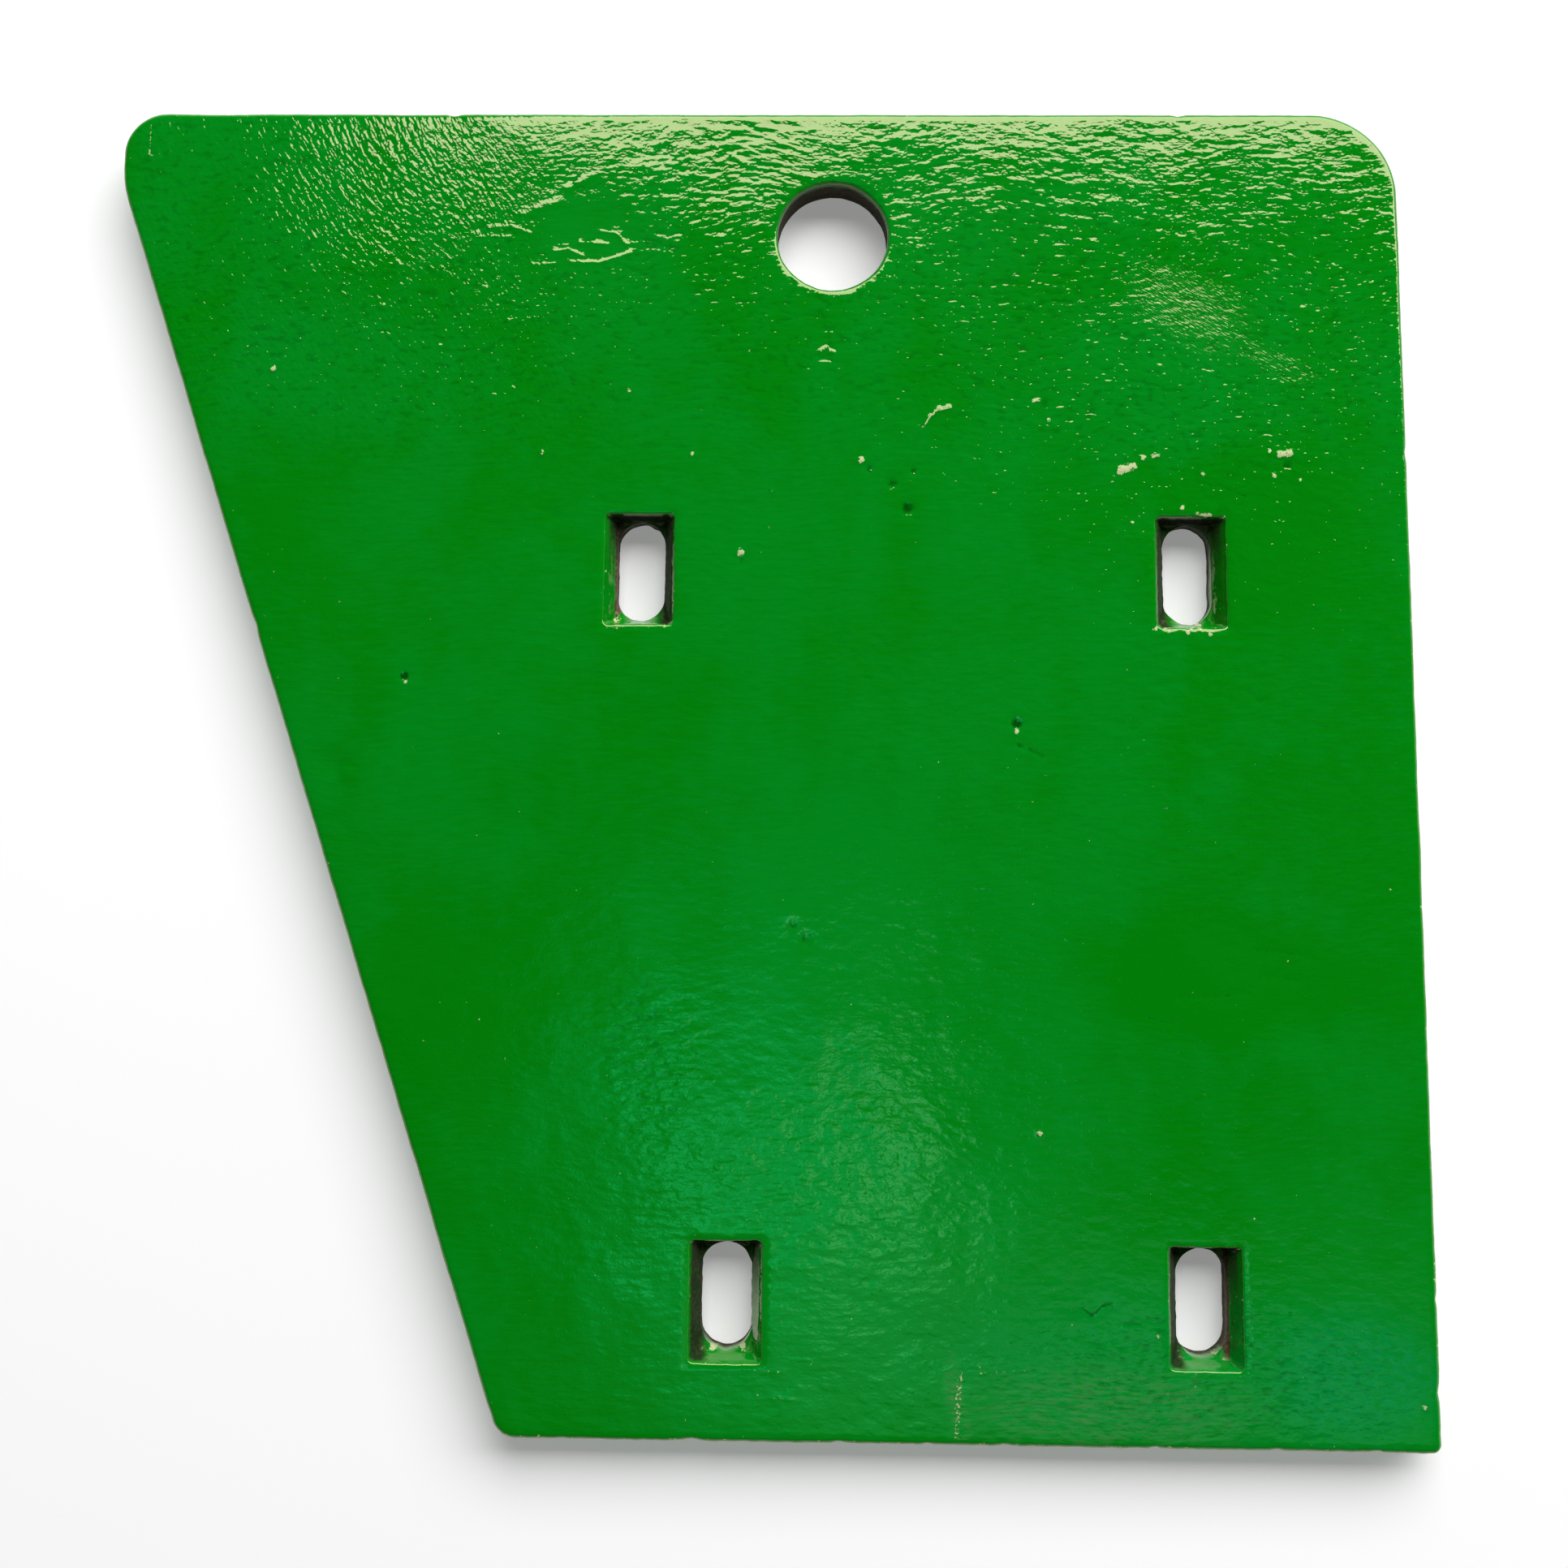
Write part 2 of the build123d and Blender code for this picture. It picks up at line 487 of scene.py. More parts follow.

# Ridges of run paint, shallow folds, scratches and a hair, as lines with a width. The value
# after the depth paints shade along a fold where it is negative; where it is positive it gives a
# pale line, partly scratched paint and partly painted glints, and along the bottom edge a painted
# reflection of the ground
strokes = [
    {"path": [(-143, 276), (-131, 277), (-120, 273)], "wide": 1.0, "depth": 0.13},
    {"path": [(-148, 271), (-131, 271)], "wide": 0.9, "depth": 0.11},
    {"path": [(-107, 263), (-99, 264), (-91, 260)], "wide": 1.0, "depth": 0.13},
    {"path": [(-97, 257), (-82, 257), (-66, 262)], "wide": 1.1, "depth": 0.15},
    {"path": [(-118, 256), (-106, 256)], "wide": 0.9, "depth": 0.10},
    {"path": [(-93, 268), (-78, 267)], "wide": 0.9, "depth": 0.12},
    {"path": [(-81, 274), (-74, 273), (-68, 267)], "wide": 1.0, "depth": 0.13},
    {"path": [(-124, 284), (-114, 287), (-104, 291)], "wide": 2.2, "depth": 0.12},
    {"path": [(-100, 298), (-84, 307)], "wide": 2.4, "depth": 0.12},
    {"path": [(36, 209), (39, 211), (43, 208)], "wide": 1.0, "depth": 0.30, "fleckAndPaintedLight": 0.55},
    {"path": [(36, 205), (42, 204)], "wide": 1.2, "depth": -0.14, "fleckAndPaintedLight": -0.4},
    {"path": [(193, 145), (197, 147), (200, 148)], "wide": 2.4, "depth": 0.25, "fleckAndPaintedLight": 0.95},
    {"path": [(210, 153), (213, 154)], "wide": 1.1, "depth": 0.25, "fleckAndPaintedLight": 0.9},
    {"path": [(276, 154), (282, 155)], "wide": 1.8, "depth": 0.30, "fleckAndPaintedLight": 0.9},
    {"path": [(148, 182), (151, 183)], "wide": 1.0, "depth": 0.20, "fleckAndPaintedLight": 0.85},
    {"path": [(91, 169), (93, 173), (97, 177), (105, 179)], "wide": 0.55, "depth": 0.22, "fleckAndPaintedLight": 0.95},
    {"path": [(-328, 334), (-328, 317)], "wide": 0.6, "depth": -0.05, "fleckAndPaintedLight": 0.75},
    {"path": [(196, 133), (200, 127), (203, 121)], "wide": 0.4, "depth": -0.04, "fleckAndPaintedLight": 0.5},
    {"path": [(232, 123), (240, 122)], "wide": 1.0, "depth": 0.20, "fleckAndPaintedLight": 1.0},
    {"path": [(108, -306), (106, -338)], "wide": 2.6, "depth": -0.05, "fleckAndPaintedLight": 0.46},
    {"path": [(4, -306), (22, -307)], "wide": 1.1, "depth": 0.05, "fleckAndPaintedLight": 0.42},
    {"path": [(8, -318), (30, -320)], "wide": 1.2, "depth": 0.05, "fleckAndPaintedLight": 0.40},
    {"path": [(118, -306), (140, -304)], "wide": 1.3, "depth": 0.05, "fleckAndPaintedLight": 0.42},
    {"path": [(233, 139), (244, 138), (258, 132)], "wide": 1.3, "depth": -0.10, "fleckAndPaintedLight": -0.35},
    {"path": [(139, 2), (147, -1), (151, -4)], "wide": 2.0, "depth": -0.13, "fleckAndPaintedLight": -0.45},
    {"path": [(183, 14), (191, 14), (199, 10)], "wide": 1.2, "depth": -0.08, "fleckAndPaintedLight": -0.3},
    {"path": [(203, 17), (222, 17)], "wide": 1.1, "depth": -0.07, "fleckAndPaintedLight": -0.3},
    {"path": [(230, 4), (238, 0)], "wide": 1.2, "depth": -0.07, "fleckAndPaintedLight": -0.3},
    {"path": [(258, -100), (271, -101), (283, -103)], "wide": 1.2, "depth": -0.09, "fleckAndPaintedLight": -0.35},
    {"path": [(262, -113), (278, -115)], "wide": 1.2, "depth": -0.08, "fleckAndPaintedLight": -0.3},
    {"path": [(219, -124), (241, -123), (250, -121)], "wide": 1.3, "depth": -0.09, "fleckAndPaintedLight": -0.3},
    {"path": [(203, -134), (211, -136), (217, -137)], "wide": 1.2, "depth": -0.08, "fleckAndPaintedLight": -0.35},
    {"path": [(168, -274), (173, -278), (178, -273), (183, -272)], "wide": 0.8, "depth": -0.13, "fleckAndPaintedLight": -0.7},
    {"path": [(-99, 171), (-93, 173), (-86, 172)], "wide": 1.2, "depth": -0.07, "fleckAndPaintedLight": -0.2},
    {"path": [(-86, 163), (-69, 156)], "wide": 1.2, "depth": -0.07, "fleckAndPaintedLight": -0.2},
    {"path": [(-58, 155), (-41, 157), (-34, 155)], "wide": 1.2, "depth": -0.08, "fleckAndPaintedLight": -0.2},
    {"path": [(-83, 129), (-70, 126), (-47, 123)], "wide": 1.2, "depth": -0.08, "fleckAndPaintedLight": -0.25},
    {"path": [(87, 147), (102, 152), (117, 155)], "wide": 1.3, "depth": -0.09, "fleckAndPaintedLight": -0.25},
    {"path": [(150, 96), (158, 99), (166, 97)], "wide": 1.6, "depth": -0.10, "fleckAndPaintedLight": -0.2},
    {"path": [(268, 84), (279, 86)], "wide": 1.5, "depth": -0.10, "fleckAndPaintedLight": -0.25},
    {"path": [(256, 30), (263, 25)], "wide": 1.6, "depth": -0.11, "fleckAndPaintedLight": -0.3},
]


# Distance to a line of several stretches, and how far along the nearest one it ends
def lineDistance(x, y, path):
    nearest = np.full(np.shape(x), 1e9)
    for (ax, ay), (bx, by) in zip(path, path[1:]):
        t = ((x - ax) * (bx - ax) + (y - ay) * (by - ay)) / ((bx - ax) ** 2 + (by - ay) ** 2)
        t = np.clip(t, 0, 1)
        nearest = np.minimum(nearest, np.hypot(x - ax - t * (bx - ax), y - ay - t * (by - ay)))
    return nearest


# True near a narrow mark or a stroke, where the mesh has to be fine
def needsFine(x, y, margin):
    fine = np.zeros(x.shape, bool)
    for mark in marks:
        if mark["wide"] < 5:
            fine |= np.hypot(x - mark["at"][0], y - mark["at"][1]) < 2 * mark["wide"] + margin
    for stroke in strokes:
        fine |= lineDistance(x, y, stroke["path"]) < 2 * stroke["wide"] + margin
    return fine


coarseX, coarseY = hexGrid(plate["faceStep"])
keepCoarse = ~needsFine(coarseX, coarseY, 0.6 * plate["faceStep"])
fineX, fineY = hexGrid(plate["fineStep"])
keepFine = needsFine(fineX, fineY, 0.0)
gridX = np.concatenate([coarseX[keepCoarse], fineX[keepFine]])
gridY = np.concatenate([coarseY[keepCoarse], fineY[keepFine]])
gap = 0.6 * plate["rimStep"]
keep = (rimDistance(gridX, gridY) > plate["wearEdgeRadius"] + gap) & clearOfHoles(gridX, gridY, gap)
fillFace(rimRings[0], [rings[0] for rings in holeRings], gridX[keep], gridY[keep], thickness, True, 0)
backX, backY = hexGrid(plate["backStep"])
keep = (rimDistance(backX, backY) > plate["backEdgeRadius"] + 4) & clearOfHoles(backX, backY, 0.5)
fillFace(rimRings[-1], [rings[-1] for rings in holeRings], backX[keep], backY[keep], 0.0, False, 1)
print("faces:", len(shell.faces), "points:", len(shell.points))


# Broad swells of the casting and the sink that keeps every lump under the flat
# face of the construction model, in mm
relief = {
    "sink": 0.80,
    "swells": [(150.0, 0.40), (52.0, 0.26), (21.0, 0.11), (9.5, 0.05)],  # size, height
    "rimSink": 0.25,
    "rimReach": 30.0,
    "ragged": 0.45,
    "broken": 0.9,  # how much a stroke's height comes and goes along its line
    "brokenSize": 6.0,
    "lipRough": 0.40,
    "lipRoughSize": 4.5,
    "ceiling": -0.04,
    "wallRough": 0.17,
    "wallRoughSize": 2.6,
    "backRough": 0.12,
    "backRoughSize": 24.0,
}

# The rim is cast and ground by hand, so it wanders inwards, and it has a few knocks
rim = {
    "wander": 0.7,
    "wanderSize": 34.0,
    "rough": 0.35,
    "roughSize": 5.0,
    "bottomRough": 1.0,  # more of it along the bottom edge
    "reach": 14.0,
    "knocks": [
        {"at": (-163, 341), "wide": 2.4, "deep": 1.1},
        {"at": (227, 341), "wide": 2.2, "deep": 1.0},
        {"at": (-24, -341), "wide": 5.0, "deep": 0.9},
        {"at": (48, -341), "wide": 2.2, "deep": 0.9},
        {"at": (92, -341), "wide": 2.0, "deep": 0.8},
        {"at": (130, -341), "wide": 3.0, "deep": 0.9},
        {"at": (203, -341), "wide": 1.8, "deep": 1.0},
        {"at": (262, -341), "wide": 2.4, "deep": 0.9},
        {"at": (311, -341), "wide": 2.0, "deep": 0.8},
        {"at": (343, -312), "wide": 3.5, "deep": 0.9},
        {"at": (343, -268), "wide": 2.2, "deep": 0.7},
        {"at": (343, 156), "wide": 3.0, "deep": 0.7},
        {"at": (-261, 60), "wide": 4.0, "deep": 0.8},
    ],
}


def noiseAt(x, y, z, size):
    return np.array([noise.noise(Vector(p)) for p in zip(x / size, y / size, z / size)])


flat = np.array(shell.points)
flatX, flatY, flatZ = flat.T
owners = np.array(shell.owners)
rimGap = rimDistance(flatX, flatY)
onPlate = owners == "plate"


# Height of the wear face over its flat place, in mm
def faceRelief():
    height = np.full(len(flat), -relief["sink"])
    for k, (size, tall) in enumerate(relief["swells"]):
        height += tall * noiseAt(flatX + 3.1 * k * size, flatY - 1.7 * k * size, np.full(len(flat), 5.3 * k), size)
    height -= relief["rimSink"] * np.clip(1 - rimGap / relief["rimReach"], 0, 1) ** 2
    ragged = 1 + relief["ragged"] * noiseAt(flatX, flatY, 0 * flatX, 2.2)
    broken = np.clip(1 + relief["broken"] * noiseAt(flatX, flatY, 0 * flatX + 4, relief["brokenSize"]), 0, 2)
    for mark in marks:
        away = np.hypot(flatX - mark["at"][0], flatY - mark["at"][1]) / mark["wide"]
        height += mark["depth"] * np.exp(-away ** 2 * ragged)
    for stroke in strokes:
        away = lineDistance(flatX, flatY, stroke["path"]) / stroke["wide"]
        height += stroke["depth"] * broken * np.exp(-away ** 2 * ragged)
    return np.minimum(height, relief["ceiling"])


# How far the rim is pushed into the plate
def rimInset():
    wander = rim["wander"] * (0.5 + 0.5 * noiseAt(flatX, flatY, 0 * flatX, rim["wanderSize"]))
    rough = rim["rough"] * (0.5 + 0.5 * noiseAt(flatX, flatY, flatZ, rim["roughSize"]))
    inset = wander + rough * (1 + rim["bottomRough"] * smooth(-flatY, top - 20, top - 5))
    for knock in rim["knocks"]:
        away = np.hypot(flatX - knock["at"][0], flatY - knock["at"][1]) / knock["wide"]
        inset += knock["deep"] * np.exp(-away ** 2) * smooth(flatZ, 6, 20)
    return inset * np.clip(1 - rimGap / rim["reach"], 0, 1)


def pushSurface():
    lift = smooth(flatZ, thickness - pocket["depth"], thickness - 1)
    back = flatZ < 0.01
    moved = flat.copy()
    moved[:, 2] += faceRelief() * lift
    moved[back, 2] += (relief["backRough"] * (0.5 + 0.5 * noiseAt(flatX, flatY, 0 * flatX + 9,
                                                                  relief["backRoughSize"])))[back]
    e = 0.5
    slopeX = rimDistance(flatX + e, flatY) - rimDistance(flatX - e, flatY)
    slopeY = rimDistance(flatX, flatY + e) - rimDistance(flatX, flatY - e)
    slope = np.maximum(np.hypot(slopeX, slopeY), 1e-6)
    inset = rimInset()
    moved[:, 0] += slopeX / slope * inset
    moved[:, 1] += slopeY / slope * inset
    # uneven lips and rough walls in the holes
    inPocket = ~onPlate & (owners != "bore")
    wavy = relief["lipRough"] * noiseAt(flatX, flatY, flatZ / 3, relief["lipRoughSize"])
    moved[inPocket, 0] += wavy[inPocket]
    moved[inPocket, 1] += wavy[inPocket]
    inHole = ~onPlate & (lift < 1) & ~back
    rough = relief["wallRough"] * noiseAt(flatX, flatY, flatZ, relief["wallRoughSize"])
    moved[inHole, 0] += rough[inHole]
    moved[inHole, 1] += 0.8 * rough[inHole]
    # the bore isn't quite round
    inBore = owners == "bore"
    angle = np.arctan2(flatY - bore["y"], flatX - bore["x"])
    uneven = bore["uneven"] * noiseAt(3 * np.cos(angle), 3 * np.sin(angle), flatZ / 14, 1.0)
    moved[inBore, 0] += (uneven * np.cos(angle))[inBore]
    moved[inBore, 1] += (uneven * np.sin(angle))[inBore]
    return moved


moved = pushSurface()

# Where the paint changes: patches of the wear face with their half sizes in mm. Stir is
# how lively its ridges are, haze fine hair-lines in it, tone its thickness. The blue-green
# patches at the bottom right are a painted reflection of the sky, and the dust patches along
# the bottom edge are olive dust streaks that also paint a reflection of the ground
patches = [
    {"at": (232, 232), "size": (34, 19), "turn": -27, "haze": 1.3, "stir": 0.4},
    {"at": (278, 202), "size": (19, 9), "turn": -27, "haze": 0.9},
    {"at": (-170, 262), "size": (22, 9), "turn": 20, "haze": 0.45},
    {"at": (223, 193), "size": (100, 42), "stir": 0.30, "haze": 0.10},
    {"at": (-91, 274), "size": (26, 17), "stir": -0.60, "lumps": -0.3},
    {"at": (-200, 225), "size": (105, 62), "lumps": 0.55, "stir": 0.15},
    {"at": (-205, 292), "size": (70, 36), "stir": 0.25},
    {"at": (238, -114), "size": (62, 28), "stir": -0.30, "tone": -1.0, "lumps": -0.4},
    {"at": (-48, -155), "size": (24, 42), "stir": 0.70, "tone": 0.35, "lumps": 0.5},
    {"at": (45, -215), "size": (80, 45), "lumps": 0.3, "stir": 0.15},
    {"at": (234, -299), "size": (80, 30), "stir": 0.60, "tone": 0.35, "lumps": 0.6},
    {"at": (210, -304), "size": (130, 38), "teal": 0.45, "stir": 0.20},
    {"at": (225, 165), "size": (120, 70), "lumps": 0.55},
    {"at": (235, 40), "size": (110, 90), "lumps": 0.30},
    {"at": (200, -60), "size": (90, 60), "lumps": 0.25},
    {"at": (-245, 108), "size": (50, 70), "tone": -0.35},
    {"at": (-131, -124), "size": (60, 50), "tone": -0.45},
    {"at": (243, 111), "size": (60, 40), "tone": -0.45},
    {"at": (-227, 196), "size": (70, 30), "tone": 0.35},
    {"at": (33, -58), "size": (60, 90), "tone": 0.30},
    {"at": (138, 128), "size": (60, 60), "tone": 0.25},
    {"at": (223, 197), "size": (80, 40), "tone": 0.50},
    {"at": (75, -232), "size": (50, 40), "tone": 0.20},
    {"at": (302, -306), "size": (36, 28), "teal": 0.95},
    {"at": (182, -322), "size": (62, 18), "dust": 0.62},
    {"at": (107, -324), "size": (3.5, 22), "turn": 8, "dust": 0.9},
    {"at": (-320, 326), "size": (14, 7), "haze": 0.5},
]

# Flaked paint along the lips of the holes, by side
chippedLips = {
    "upper_right_slots": {"top": 1.0, "bottom": 0.9, "left": 0.45, "right": 0.45},
    "upper_left_slot": {"right": 0.6, "bottom": 0.55, "top": 0.3, "left": 0.3},
    "lower_left_slot": {"bottom": 0.35, "top": 0.25, "right": 0.3},
    "lower_right_slots": {"bottom": 0.6, "left": 0.5, "top": 0.35, "right": 0.4},
}

# Unpainted walls, and the walls whose deep shade is painted in as a near-black colour, by side
bareWalls = {
    "upper_left_slot": "left",
    "upper_right_slots": "",
    "lower_right_slots": "right",
    "lower_left_slot": "",
}
paintedShadeWalls = {
    "upper_left_slot": "right",
    "upper_right_slots": "left",
    "lower_right_slots": "left",
    "lower_left_slot": "left",
}

wearAndPaintedShade = {
    "patchSoft": 0.55,
    "boreBare": 0.72,
    # the dark values set the strength of the painted shade in the holes
    "boreDark": 0.75,
    "slotBare": 0.65,
    "slotDark": 0.70,
    "sideDark": 0.92,
    "upperDark": 0.80,
    "topDark": 1.0,
    "lipWidth": 1.6,
    "bottomEdge": 0.55,
    "rightEdge": 0.40,
    "slantFrom": -200.0,
    "slantTo": 20.0,
    "slantAbove": 150.0,
}


def patchSum(key):
    total = np.zeros(len(flat))
    for patch in patches:
        if key in patch:
            turn = math.radians(patch.get("turn", 0))
            dx = flatX - patch["at"][0]
            dy = flatY - patch["at"][1]
            along = (dx * math.cos(turn) + dy * math.sin(turn)) / patch["size"][0]
            across = (dy * math.cos(turn) - dx * math.sin(turn)) / patch["size"][1]
            inside = 1 - smooth(np.hypot(along, across), 1 - wearAndPaintedShade["patchSoft"], 1 + wearAndPaintedShade["patchSoft"])
            total += patch[key] * inside
    return total


# Bare metal, flakes and a near-black mask at the holes. The mask is the unpainted skin in
# the shafts, and painted shade on the top walls, the far side walls, the upper ends of the
# pockets and deep in the bore
def holeMasks():
    bare = np.zeros(len(flat))
    dark = np.zeros(len(flat))
    chips = np.zeros(len(flat))
    depth = thickness - flatZ
    inBore = owners == "bore"
    bare[inBore] = (wearAndPaintedShade["boreBare"] * smooth(depth, 2.5, 9))[inBore]
    dark[inBore] = (wearAndPaintedShade["boreDark"] * smooth(depth, 1.5, 8))[inBore]
    halfWidth = slotWidth / 2 + pocket["sideRun"]
    halfLength = slotLength / 2 + pocket["endRun"]
    for name, (cx, cy) in slotPlaces.items():
        own = owners == name
        x = flatX - cx
        y = flatY - cy
        sides = {"left": -x / (slotWidth / 2), "right": x / (slotWidth / 2), "": 0 * x}
        wall = sides[bareWalls[name]]
        side = smooth(depth, pocket["depth"] - 4, pocket["depth"] + 1) * smooth(wall, 0.55, 0.95)
        shaft = smooth(depth, pocket["depth"] + 2, thickness - 4)
        # painted shade: the top wall, the far side wall and the upper end of each pocket go near-black
        topWall = smooth(y, slotLength / 2 - 1, slotLength / 2 + 0.5) * smooth(depth, 1.0, 3.5)
        shaded = wearAndPaintedShade["sideDark"] * smooth(sides[paintedShadeWalls[name]], 0.6, 0.95) * smooth(depth, 0.8, 3.0)
        upper = wearAndPaintedShade["upperDark"] * smooth(y, -8, slotLength / 2) * smooth(depth, 1.0, 6.0)
        shaded = np.maximum(shaded, upper)
        bare[own] = np.maximum(side, wearAndPaintedShade["slotBare"] * shaft)[own]
        dark[own] = np.maximum(np.maximum(wearAndPaintedShade["topDark"] * topWall, shaded), wearAndPaintedShade["slotDark"] * shaft)[own]
        gaps = {"left": (-x - halfWidth, y, halfLength), "right": (x - halfWidth, y, halfLength),
                "bottom": (-y - halfLength, x, halfWidth), "top": (y - halfLength, x, halfWidth)}
        for sideName, strength in chippedLips[name].items():
            gap, along, reach = gaps[sideName]
            near = np.exp(-(np.maximum(gap, 0) / wearAndPaintedShade["lipWidth"]) ** 2) * (np.abs(along) < reach + 2)
            near *= (gap > -0.8) & (depth < 2.5)
            chips = np.maximum(chips, strength * near)
    return bare, dark, chips


bare, dark, chips = holeMasks()
onEdge = np.exp(-(np.maximum(rimGap, 0) / 2.2) ** 2) * (flatZ > thickness - 9)
chips = np.maximum(chips, onEdge * wearAndPaintedShade["bottomEdge"] * smooth(-flatY, top - 30, top - 6))
chips = np.maximum(chips, onEdge * wearAndPaintedShade["rightEdge"] * smooth(-flatY, top - 240, top - 40) * (flatX > right - 9))

# Pale flecks, partly painted glints, and spots of painted shade from the marks and strokes
pale = np.zeros(len(flat))
spots = np.zeros(len(flat))
for mark in marks:
    away = np.hypot(flatX - mark["at"][0], flatY - mark["at"][1]) / mark["wide"]
    pale = np.maximum(pale, max(mark.get("fleckAndPaintedLight", 0), 0) * np.exp(-away ** 2))
    spots = np.maximum(spots, max(-mark.get("fleckAndPaintedLight", 0), 0) * np.exp(-away ** 2))
for stroke in strokes:
    away = lineDistance(flatX, flatY, stroke["path"]) / stroke["wide"]
    pale = np.maximum(pale, max(stroke.get("fleckAndPaintedLight", 0), 0) * np.exp(-away ** 2))
    spots = np.maximum(spots, max(-stroke.get("fleckAndPaintedLight", 0), 0) * np.exp(-away ** 2))

lumpy = np.where(onPlate, np.clip(0.35 + 0.15 * smooth(flatX, -80, 160) + patchSum("lumps"), 0, 1.2), 1.0)
slantEdge = flatX + 0.35 * (flatY - wearAndPaintedShade["slantAbove"])
masks = {
    "bare": bare,
    "dark": dark,
    "chips": chips,
    "pale": pale,
    "spots": spots * onPlate,
    "rimGap": np.clip(rimGap + np.maximum(thickness - 4 - flatZ, 0), 0, 30),  # grows down the sides
    "stir": np.maximum(0.40 + 0.60 * smooth(flatY, 20, 250) + patchSum("stir"), 0.08),
    "haze": patchSum("haze"),
    "lumps": lumpy,
    "dents": lumpy * onPlate * (1 - smooth(flatY, 150, 215)),
    "tone": patchSum("tone"),
    "teal": patchSum("teal"),
    "dust": patchSum("dust"),
    "slant": (1 - smooth(slantEdge, wearAndPaintedShade["slantFrom"] + 60, wearAndPaintedShade["slantTo"])) * smooth(flatY, 90, 190),
}

mesh = bpy.data.meshes.new("cheekPlateCasting")
mesh.from_pydata((moved * mm).tolist(), [], shell.faces)
mesh.polygons.foreach_set("material_index", shell.kinds)
mesh.shade_smooth()
for name, values in masks.items():
    layer = mesh.attributes.new(name, "FLOAT", "POINT")
    layer.data.foreach_set("value", np.asarray(values, float))
mesh.validate()
mesh.update()
casting = bpy.data.objects.new("cheekPlateCasting", mesh)
bpy.context.collection.objects.link(casting)
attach(casting, "root")
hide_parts("cheek_plate")
print("casting:", sum(len(f) - 2 for f in shell.faces), "triangles")


# One socket of a material, so that shader maths reads as plain sums
class Field:
    def __init__(self, tree, socket=None):
        self.tree = tree
        self.socket = socket

    # adds a node of any type: its settings first, then the values or links of its sockets
    def node(self, kind, settings=None, inputs=None, output=None):
        made = self.tree.nodes.new("ShaderNode" + kind)
        for name, value in (settings or {}).items():
            setattr(made, name, value)
        for name, value in (inputs or {}).items():
            matching = [socket for socket in made.inputs if socket.identifier == name]
            target = matching[0] if matching else made.inputs[name]
            if isinstance(value, Field):
                self.tree.links.new(value.socket, target)
            else:
                target.default_value = value
        if not made.outputs:
            return None
        matching = [socket for socket in made.outputs if socket.identifier == output]
        return Field(self.tree, matching[0] if matching else made.outputs[output or 0])

    def math(self, operation, first, second=0.0):
        return self.node("Math", {"operation": operation}, {0: first, 1: second})

    def __add__(self, other):
        return self.math("ADD", self, other)

    def __radd__(self, other):
        return self.math("ADD", other, self)

    def __sub__(self, other):
        return self.math("SUBTRACT", self, other)

    def __rsub__(self, other):
        return self.math("SUBTRACT", other, self)

    def __mul__(self, other):
        return self.math("MULTIPLY", self, other)

    def __rmul__(self, other):
        return self.math("MULTIPLY", other, self)

    def __truediv__(self, other):
        return self.math("DIVIDE", self, other)

    def __rtruediv__(self, other):
        return self.math("DIVIDE", other, self)

    def step(self, low, high):  # 0 below low, 1 above high, smooth between
        return self.node("MapRange", {"interpolation_type": "SMOOTHSTEP"},
                         {"Value": self, "From Min": low, "From Max": high}, "Result")

    def mixColour(self, first, second):  # first where self is 0, second where it is 1
        return self.node("Mix", {"data_type": "RGBA"},
                         {"Factor_Float": self, "A_Color": first, "B_Color": second}, "Result_Color")

    def mixShader(self, first, second):
        return self.node("MixShader", {}, {0: self, 1: first, 2: second})

    def vector(self, operation, other):
        return self.node("VectorMath", {"operation": operation}, {0: self, 1: other})

    def scaled(self, amount):  # a vector times a number or a number field
        return self.node("VectorMath", {"operation": "SCALE"}, {0: self, "Scale": amount})

    def axis(self, name):
        return self.node("SeparateXYZ", {}, {"Vector": self}, name)

    def attribute(self, name):
        return self.node("Attribute", {"attribute_name": name}, {}, "Fac")

    # noise whose lumps have the given sizes along the three axes
    def noise(self, sizes, detail=2.0, roughness=0.5, output="Fac"):
        if not isinstance(sizes, tuple):
            sizes = (sizes,) * 3
        cells = self.vector("DIVIDE", sizes)
        return self.node("TexNoise", {}, {"Vector": cells, "Scale": 1.0, "Detail": detail,
                                          "Roughness": roughness}, output)


def newMaterial(name):
    material = bpy.data.materials.new(name)
    material.use_nodes = True
    material.node_tree.nodes.clear()
    return material, Field(material.node_tree)


